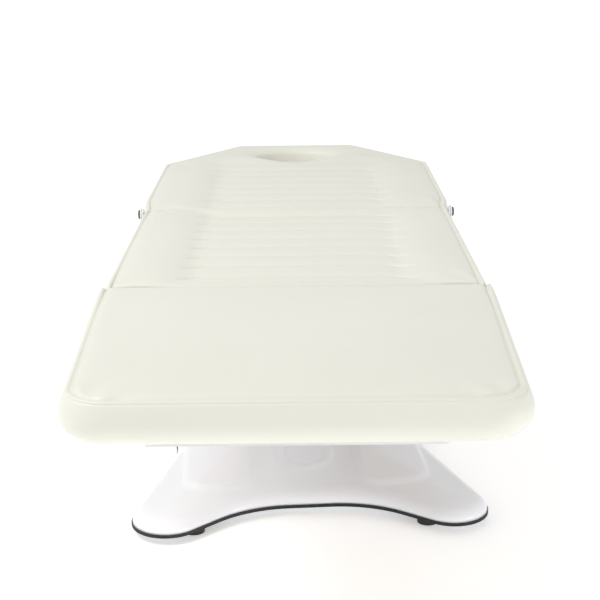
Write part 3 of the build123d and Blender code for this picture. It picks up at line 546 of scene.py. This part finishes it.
def head_section(cushion, bottom_row):
    """Rings between the head end's outline and the oval face hole."""
    row_y = bottom_row[0][1]
    outline = cushion.outline
    start = int(np.argmin(np.linalg.norm(outline - np.array(bottom_row[-1]), axis=1)))
    rolled = np.roll(outline, -start, axis=0)
    above = [p for p in rolled[1:] if p[1] > row_y + 0.004]
    outer = [np.array(p) for p in bottom_row] + above
    shares = [0, 0.012, 0.025, 0.035, 0.045, 0.055, 0.07, 0.1, 0.16, 0.24, 0.34, 0.46]
    shares += [0.58, 0.68, 0.76, 0.83, 0.89, 0.94, 0.975, 1]
    points, faces, rings = [], [], []
    for share in shares:
        ring = []
        for p in outer:
            away = (p - hole_centre) / hole_half
            angle = math.atan2(away[1], away[0])
            inner = hole_centre + hole_half * np.array([math.cos(angle), math.sin(angle)])
            ring.append(len(points))
            points.append(tuple(p + (inner - p) * share))
        rings.append(ring)
    count = len(outer)
    for outside, inside in zip(rings, rings[1:]):
        for k in range(count):
            after = (k + 1) % count
            faces.append((outside[k], outside[after], inside[after], inside[k]))
    bottom = list(range(len(bottom_row)))
    return bottom, rings[0][len(bottom_row) :] + [bottom[0]], rings[-1], points, faces


def build_cushion(name, cushion, rows, body, head_row=None):
    """Closed cushion mesh: top, rounded sides, underside and, at the head, the hole's wall."""
    points, faces, loop, hole = cushion_mesh(cushion, rows, head_row)
    plan = np.array(points)
    height = cushion.shape(plan)
    rim = np.full(len(plan), 1e9)
    if hole:
        hole_line = np.vstack([plan[hole], plan[hole[:1]]])
        rim = distance_to(plan, hole_line)
        roll = 1 - np.clip(rim / 0.034, 0, 1)
        height = height - 0.018 * (1 - np.sqrt(1 - 0.985 * roll**2))
    top = np.column_stack([plan, height])
    all_points = [tuple(p) for p in top]
    all_faces = list(faces)

    ring = plan[loop]
    normals = outward_normals(ring)
    edge_height = height[loop]
    at_joint = np.ones(len(ring)) * 1e9
    for y in cushion.joints:
        at_joint = np.minimum(at_joint, np.abs(ring[:, 1] - y))
    bulge = smooth(at_joint / 0.02)
    depth = edge_height - cushion_low
    previous = list(loop)
    side_profile = [
        (0.25, 0.93), (0.55, 0.84), (0.90, 0.70), (1.0, 0.54), (0.85, 0.40),
        (0.40, 0.26), (-0.0025, 0.145), (-0.010, 0.055), (-0.020, 0.012), (-0.028, 0.0),
    ]
    for out, share in side_profile:
        offset = out * cushion.side_bulge * bulge if out > 0 else np.full(len(ring), out)
        current = []
        for k in range(len(ring)):
            current.append(len(all_points))
            all_points.append((*(ring[k] + normals[k] * offset[k]), cushion_low + depth[k] * share))
        for k in range(len(ring)):
            after = (k + 1) % len(ring)
            all_faces.append((previous[k], previous[after], current[after], current[k]))
        previous = current

    edge = distance_to(plan, np.vstack([ring, ring[:1]]))
    centre = np.array([0.0, (cushion.low_y + cushion.high_y) / 2])
    pull = 0.028 * np.clip(1 - edge / 0.14, 0, 1)
    towards = centre - plan
    towards /= np.maximum(np.linalg.norm(towards, axis=1), 1e-6)[:, None]
    below = {}
    for k, i in enumerate(loop):
        below[i] = previous[k]
    for i in range(len(plan)):
        if i not in below:
            below[i] = len(all_points)
            spot = plan[i] + towards[i] * pull[i]
            all_points.append((*spot, cushion_low))
    all_faces += [tuple(below[i] for i in reversed(face)) for face in faces]

    if hole:
        wall = [(0.0005, 0.70), (0.0015, 0.52), (0.0015, 0.34), (0.0, 0.16), (-0.002, 0.04)]
        previous = list(hole)
        for out, share in wall:
            current = []
            for i in hole:
                away = plan[i] - hole_centre
                away = away / np.linalg.norm(away)
                current.append(len(all_points))
                level = cushion_low + (height[i] - cushion_low) * share
                all_points.append((*(plan[i] + away * out), level))
            for k in range(len(hole)):
                after = (k + 1) % len(hole)
                all_faces.append((previous[after], previous[k], current[k], current[after]))
            previous = current
        for k in range(len(hole)):
            after = (k + 1) % len(hole)
            all_faces.append((previous[after], previous[k], below[hole[k]], below[hole[after]]))
    obj = make_object(name, all_points, all_faces, body, materials["upholstery"])
    return obj


def swell(obj, cushion, cap):
    """Blows the cover up over its sewn lines with a cloth simulation, then limits the movement."""
    start = coordinates(obj)
    free = smooth((start[:, 2] - (cushion_low + 0.035)) / 0.012)
    across = np.abs(start[:, 0])
    sewn = np.zeros(len(start))
    for y in cushion.channels:
        near = np.exp(-(((start[:, 1] + slant(across) - y) / 0.004) ** 2))
        sewn = np.maximum(sewn, near * channel_fade(across))
    side = np.full(len(start), 1e9)
    for line in cushion.piped_lines():
        side = np.minimum(side, distance_to(start[:, :2], line))
    for y in cushion.joints:
        side = np.minimum(side, np.abs(start[:, 1] - y))
    sewn = np.maximum(sewn, 1 - smooth(side / 0.012))
    hold = np.clip(np.maximum(1 - free, sewn), 0, 1)
    group = obj.vertex_groups.new(name="held")
    for i, weight in enumerate(hold):
        group.add([i], float(weight), "REPLACE")
    cloth = obj.modifiers.new("cover", "CLOTH")
    settings = cloth.settings
    settings.quality = 6
    settings.mass = 0.35
    settings.tension_stiffness = 25
    settings.compression_stiffness = 25
    settings.shear_stiffness = 8
    settings.bending_stiffness = 2.5
    settings.use_pressure = True
    settings.uniform_pressure_force = 4.0
    settings.effector_weights.gravity = 0
    settings.vertex_group_mass = "held"
    cloth.point_cache.frame_start = 1
    cloth.point_cache.frame_end = 20
    for step in range(1, 21):
        scene.frame_set(step)
    apply_modifiers(obj)
    scene.frame_set(1)
    moved = coordinates(obj) - start
    length = np.linalg.norm(moved, axis=1)
    limit = cap * (1 - hold)
    eased = limit * np.tanh(length / np.maximum(limit, 1e-6))
    scale = np.where(length > 1e-9, eased / np.maximum(length, 1e-9), 0)
    set_coordinates(obj, start + moved * scale[:, None])
    obj.vertex_groups.clear()


def sew_channels(obj, cushion):
    """Presses the sewn channels and their puckered ends into the finished cover."""
    points = coordinates(obj)
    across = np.abs(points[:, 0])
    along = points[:, 1] + slant(across)
    fade = channel_fade(across)
    upper = smooth((points[:, 2] - (cushion_low + 0.04)) / 0.008)
    drop = np.zeros(len(points))
    for y in cushion.channels:
        away = np.abs(along - y)
        drop += 0.0014 * np.exp(-((away / 0.009) ** 2)) * fade
        drop += 0.0012 * np.exp(-((away / 0.0022) ** 2)) * fade
        pucker = np.exp(-((away / 0.016) ** 2)) * np.exp(-(((across - 0.182) / 0.02) ** 2))
        drop += 0.0008 * pucker * np.cos((along - y) * 520)
    points[:, 2] -= drop * upper
    set_coordinates(obj, points)


def tube(name, path, radius, body, material, sides=12):
    """Round cord along an open path of points, with domed ends."""
    path = np.array(path, float)
    count = len(path)
    along = np.gradient(path, axis=0)
    along /= np.linalg.norm(along, axis=1)[:, None]
    normal = np.cross(along[0], [0.0, 0.0, 1.0])
    if np.linalg.norm(normal) < 0.1:
        normal = np.cross(along[0], [1.0, 0.0, 0.0])
    points, faces, rings = [], [], []

    def ring(centre, direction, size):
        nonlocal normal
        normal = normal - direction * (normal @ direction)
        normal = normal / np.linalg.norm(normal)
        side = np.cross(direction, normal)
        current = []
        for k in range(sides):
            angle = 2 * math.pi * k / sides
            current.append(len(points))
            points.append(centre + size * (normal * math.cos(angle) + side * math.sin(angle)))
        rings.append(current)

    ring(path[0] - along[0] * radius * 0.75, along[0], radius * 0.35)
    ring(path[0] - along[0] * radius * 0.45, along[0], radius * 0.8)
    for k in range(count):
        ring(path[k], along[k], radius)
    ring(path[-1] + along[-1] * radius * 0.45, along[-1], radius * 0.8)
    ring(path[-1] + along[-1] * radius * 0.75, along[-1], radius * 0.35)
    for low, high in zip(rings, rings[1:]):
        for k in range(sides):
            after = (k + 1) % sides
            faces.append((low[k], low[after], high[after], high[k]))
    faces.append(tuple(reversed(rings[0])))
    faces.append(tuple(rings[-1]))
    return make_object(name, points, faces, body, material)


def build_piping(name, cushion, body, turn_down=0.030):
    """Piping along the top edge at one fixed height, inset from the outline, its ends turned down at a
    joint.
    """
    lines = cushion.piped_lines()
    for line in lines:
        closed_normals = outward_normals(cushion.outline)
        lookup = {tuple(np.round(p, 6)): n for p, n in zip(cushion.outline, closed_normals)}
        inset = np.array([p - lookup[tuple(np.round(p, 6))] * piping_inset for p in line])
        trimmed = even_points(inset[1:-1], 0.005, closed=False)
        path = [np.array([*p, edge_level]) for p in trimmed]
        for end in (0, -1):
            corner = path[end].copy()
            inward = path[1 if end == 0 else -2] - corner
            inward /= np.linalg.norm(inward)
            turn = [
                corner + inward * 0.0045 + np.array([0, 0, -0.0006]),
                corner + inward * 0.0016 + np.array([0, 0, -0.0028]),
                corner + np.array([0, 0, -0.0075]),
                corner + np.array([0, 0, -0.015]),
                corner + np.array([0, 0, -turn_down]),
            ]
            if end == 0:
                path = list(reversed(turn)) + path[2:]
            else:
                path = path[:-2] + turn
        side = "right" if line[0][0] > 0 else "left"
        piece_name = name if len(lines) == 1 else f"{name}_{side}"
        tube(piece_name, path, piping_radius, body, materials["upholstery"])


def build_stitches(name, cushion, body, obj):
    """Sewn stitches along each channel, laid on the finished cover."""
    tree = BVHTree.FromObject(obj, bpy.context.evaluated_depsgraph_get())
    points, faces = [], []
    pitch, half, radius = 0.0065, 0.0022, 0.00045
    reach = 0.172

    def on_cover(x, y):
        hit = tree.ray_cast(Vector((x, y, 1.0)), Vector((0, 0, -1)))[0]
        return np.array(hit)

    for row in cushion.channels:
        for k in range(round(-reach / pitch), round(reach / pitch) + 1):
            ends = []
            for x in (k * pitch - half, k * pitch + half):
                spot = on_cover(x, row - float(slant(abs(x))))
                ends.append(spot + np.array([0, 0, radius * 0.3]))
            middle = (ends[0] + ends[1]) / 2 + np.array([0, 0, radius * 0.8])
            base = len(points)
            for centre, size in ((ends[0], 0.5), (middle, 1.0), (ends[1], 0.5)):
                for j in range(6):
                    angle = 2 * math.pi * j / 6
                    offset = np.array([0, math.cos(angle), math.sin(angle)]) * radius * size
                    points.append(centre + offset)
            for a in (0, 6):
                for j in range(6):
                    b = (j + 1) % 6
                    faces.append((base + a + j, base + a + b, base + a + 6 + b, base + a + 6 + j))
            faces.append(tuple(base + j for j in range(6)))
            faces.append(tuple(base + 12 + j for j in reversed(range(6))))
    return make_object(name, points, faces, body, thread)


edge_level = cushion_top - 0.0056

leg = Cushion(
    [(-leg_half, leg_joint), (-foot_half, foot_end), (foot_half, foot_end), (leg_half, leg_joint)],
    [sharp_corner, foot_corner, foot_corner, sharp_corner],
    [leg_joint],
    crown=0.005,
    side_bulge=0.008,
)
seat_channels = [seat_rear - channel_pitch * (k + 0.62) for k in range(8)]
seat = Cushion(
    [
        (-seat_half, seat_rear),
        (-seat_half, seat_front),
        (seat_half, seat_front),
        (seat_half, seat_rear),
    ],
    [sharp_corner] * 4,
    [seat_front, seat_rear],
    channels=sorted(seat_channels),
)
back_channels = [back_joint + channel_pitch * (k + 0.62) for k in range(7)]
back = Cushion(
    [
        (-hinge_relief_half, back_joint),
        (hinge_relief_half, back_joint),
        (back_half, hinge_relief_end),
        (back_half, shoulder_y),
        (head_half, head_end),
        (-head_half, head_end),
        (-back_half, shoulder_y),
        (-back_half, hinge_relief_end),
    ],
    [sharp_corner] * 2 + [hinge_radius] + [head_corner] * 4 + [hinge_radius],
    [back_joint],
    channels=back_channels,
)

leg_rows = [foot_end + foot_corner * (1 - math.cos(math.pi / 2 * k / 12)) for k in range(13)]
leg_rows += channel_rows(foot_end + 0.068, leg_joint, [])
leg_rows += [foot_end + d for d in (0.0096, 0.0112, 0.0136)]
leg_rows = sorted(set(round(y, 6) for y in leg_rows))
head_start = 0.640

seat_rows = channel_rows(seat_front, seat_rear, seat.channels)
back_rows = channel_rows(back_joint, head_start, back.channels)

for name, cushion, rows, body, node, head in (
    ("leg_cover", leg, leg_rows, "leg", "leg_cushion", None),
    ("seat_cover", seat, seat_rows, "seat", "seat_cushion", None),
    ("back_cover", back, back_rows, "back", "back_cushion", True),
):
    cover = build_cushion(name, cushion, rows, body, head)
    swell(cover, cushion, swell_limit)
    subdivide(cover)
    if len(cushion.channels):
        sew_channels(cover, cushion)
        build_stitches(name.replace("cover", "stitches"), cushion, body, cover)
    build_piping(name.replace("cover", "piping"), cushion, body)
    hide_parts(node)


# ---- Base cover ----------------------------------------------------------------------

raised_panel_x = 0.165
raised_panel_half = (0.068, 0.265)
raised_panel_corner = 0.045
raised_panel_height = 0.0055
boss_middle = np.array([0.0, -0.150])
boss_radius = 0.050
boss_height = 0.004
boss_groove_radius = 0.038
boss_groove_depth = 0.0018


def base_outline():
    """Butterfly plan of the base: four lobes, notched front and back, waisted sides."""
    quarter = [(0.113, -0.281), (0.377, -0.503)]
    right = quarter + [(0.237, 0.0)] + [(x, -y) for x, y in reversed(quarter)]
    left = [(-x, y) for x, y in reversed(right)]
    radii = [0.200, 0.065, 0.250, 0.065, 0.200] * 2
    return rounded_outline(right + left, radii, 0.007)


def box_distance(points, half_x, half_y, corner):
    """Signed distance to a rounded rectangle about the base's middle, below 0 inside."""
    away = np.abs(points) - np.array([half_x - corner, half_y - corner])
    outside = np.linalg.norm(np.maximum(away, 0), axis=1)
    inside = np.minimum(np.maximum(away[:, 0], away[:, 1]), 0)
    return outside + inside - corner


def cover_height(plan, edge):
    """Height of the cover over its plan, from the rim, the slope, the panels and the boss."""
    rim = cover_low.z
    rise = 0.019 * np.sqrt(1 - (1 - np.clip(edge / 0.024, 0, 1)) ** 2)
    far = box_distance(plan, 0.09, 0.09, 0.03)
    room = np.maximum(edge + np.maximum(far, 0), 1e-4)
    slope = np.clip(edge / room, 0, 1)
    height = rim + rise + (cover_high.z - rim - 0.019) * slope ** 0.9
    for side in (-1, 1):
        middle = np.array([side * raised_panel_x, 0.0])
        panel = box_distance(plan - middle, *raised_panel_half, raised_panel_corner)
        height += raised_panel_height * (1 - smooth((panel + 0.010) / 0.014)) * smooth(edge / 0.03)
    boss = np.linalg.norm(plan - boss_middle, axis=1)
    height += boss_height * (1 - smooth((boss - boss_radius) / 0.010))
    height -= boss_groove_depth * np.exp(-(((boss - boss_groove_radius) / 0.003) ** 2))
    return height


def build_base_cover():
    """The moulded cover as a closed shell with a square opening for the column."""
    outline = base_outline()
    hole_half_side = column_half + 0.003
    count = len(outline)
    inner = []
    for p in outline:
        reach = max(abs(p[0]), abs(p[1]))
        inner.append(p / reach * hole_half_side)
    inner = np.array(inner)
    shares = [0, 0.004, 0.012, 0.024, 0.04, 0.06, 0.09, 0.13]
    shares += list(np.linspace(0.16, 0.97, 44)) + [1.0]
    layers = [outline + (inner - outline) * s for s in shares]
    closed = np.vstack([outline, outline[:1]])
    points, faces, rings = [], [], []

    def add_ring(plan, height):
        rings.append(list(range(len(points), len(points) + count)))
        across = plan @ np.array([math.cos(base_turn), -math.sin(base_turn)])
        along = plan @ np.array([math.sin(base_turn), math.cos(base_turn)])
        points.extend(zip(across, along + column_y, height))

    wall = 0.0035
    for plan in reversed(layers):
        height = cover_height(plan, distance_to(plan, closed)) - wall
        add_ring(plan * 0.99, np.maximum(height, cover_low.z + 0.001))
    add_ring(outline * 0.99, np.full(count, cover_low.z))
    add_ring(outline, np.full(count, cover_low.z))
    for plan in layers:
        add_ring(plan, cover_height(plan, distance_to(plan, closed)))
    for k in range(len(rings)):
        here, after = rings[k], rings[(k + 1) % len(rings)]
        for j in range(count):
            n = (j + 1) % count
            faces.append((here[j], here[n], after[n], after[j]))
    white = materials["cover_plastic"]
    return make_object("base_shell", points, faces, "base", white)


base_shell = build_base_cover()
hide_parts("base_cover")


# ---- Floor, light and camera ---------------------------------------------------------

floor_half = 80
floor_corners = [
    (-floor_half, -floor_half, 0),
    (floor_half, -floor_half, 0),
    (floor_half, floor_half, 0),
    (-floor_half, floor_half, 0),
]
floor_mesh = bpy.data.meshes.new("floor")
floor_mesh.from_pydata(floor_corners, [], [(0, 1, 2, 3)])
floor = bpy.data.objects.new("floor", floor_mesh)
scene.collection.objects.link(floor)
floor_look = bpy.data.materials.new("floor_white")
floor_look.use_nodes = True
floor_shader = floor_look.node_tree.nodes["Principled BSDF"]
floor_shader.inputs["Base Color"].default_value = (0.92, 0.92, 0.92, 1)
floor_shader.inputs["Roughness"].default_value = 0.9
floor_shader.inputs["Emission Color"].default_value = (1, 1, 1, 1)
floor_shader.inputs["Emission Strength"].default_value = 0.36
floor_mesh.materials.append(floor_look)

world = bpy.data.worlds.new("studio")
scene.world = world
world.use_nodes = True
world.node_tree.nodes["Background"].inputs["Color"].default_value = (1.0, 1.0, 1.0, 1)
world.node_tree.nodes["Background"].inputs["Strength"].default_value = 0.72
scene.view_settings.view_transform = "Standard"


def area_light(name, place, target, size, power):
    light = bpy.data.lights.new(name, "AREA")
    light.shape = "DISK"
    light.size = size
    light.energy = power
    obj = bpy.data.objects.new(name, light)
    scene.collection.objects.link(obj)
    obj.location = place
    obj.rotation_euler = (Vector(target) - Vector(place)).to_track_quat("-Z", "Y").to_euler()


area_light("key", (-1.7, -0.7, 3.1), (0.0, 0.0, 0.4), 1.8, 52)
area_light("front", (0.6, -3.4, 1.2), (0.0, 0.0, 0.2), 1.6, 3)
area_light("fill", (1.9, -1.6, 0.35), (0.0, -0.1, 0.1), 0.8, 7)

camera_place = (0.006, -2.373, 1.055)
camera_pitch = 16.25
camera_roll = -0.6
camera = bpy.data.cameras.new("camera")
camera.sensor_width = 36.0
camera.lens = 78.18
camera_object = bpy.data.objects.new("camera", camera)
scene.collection.objects.link(camera_object)
pitch = Matrix.Rotation(math.radians(90 - camera_pitch), 4, "X")
roll = Matrix.Rotation(math.radians(camera_roll), 4, "Z")
camera_object.matrix_world = Matrix.Translation(camera_place) @ pitch @ roll
scene.camera = camera_object
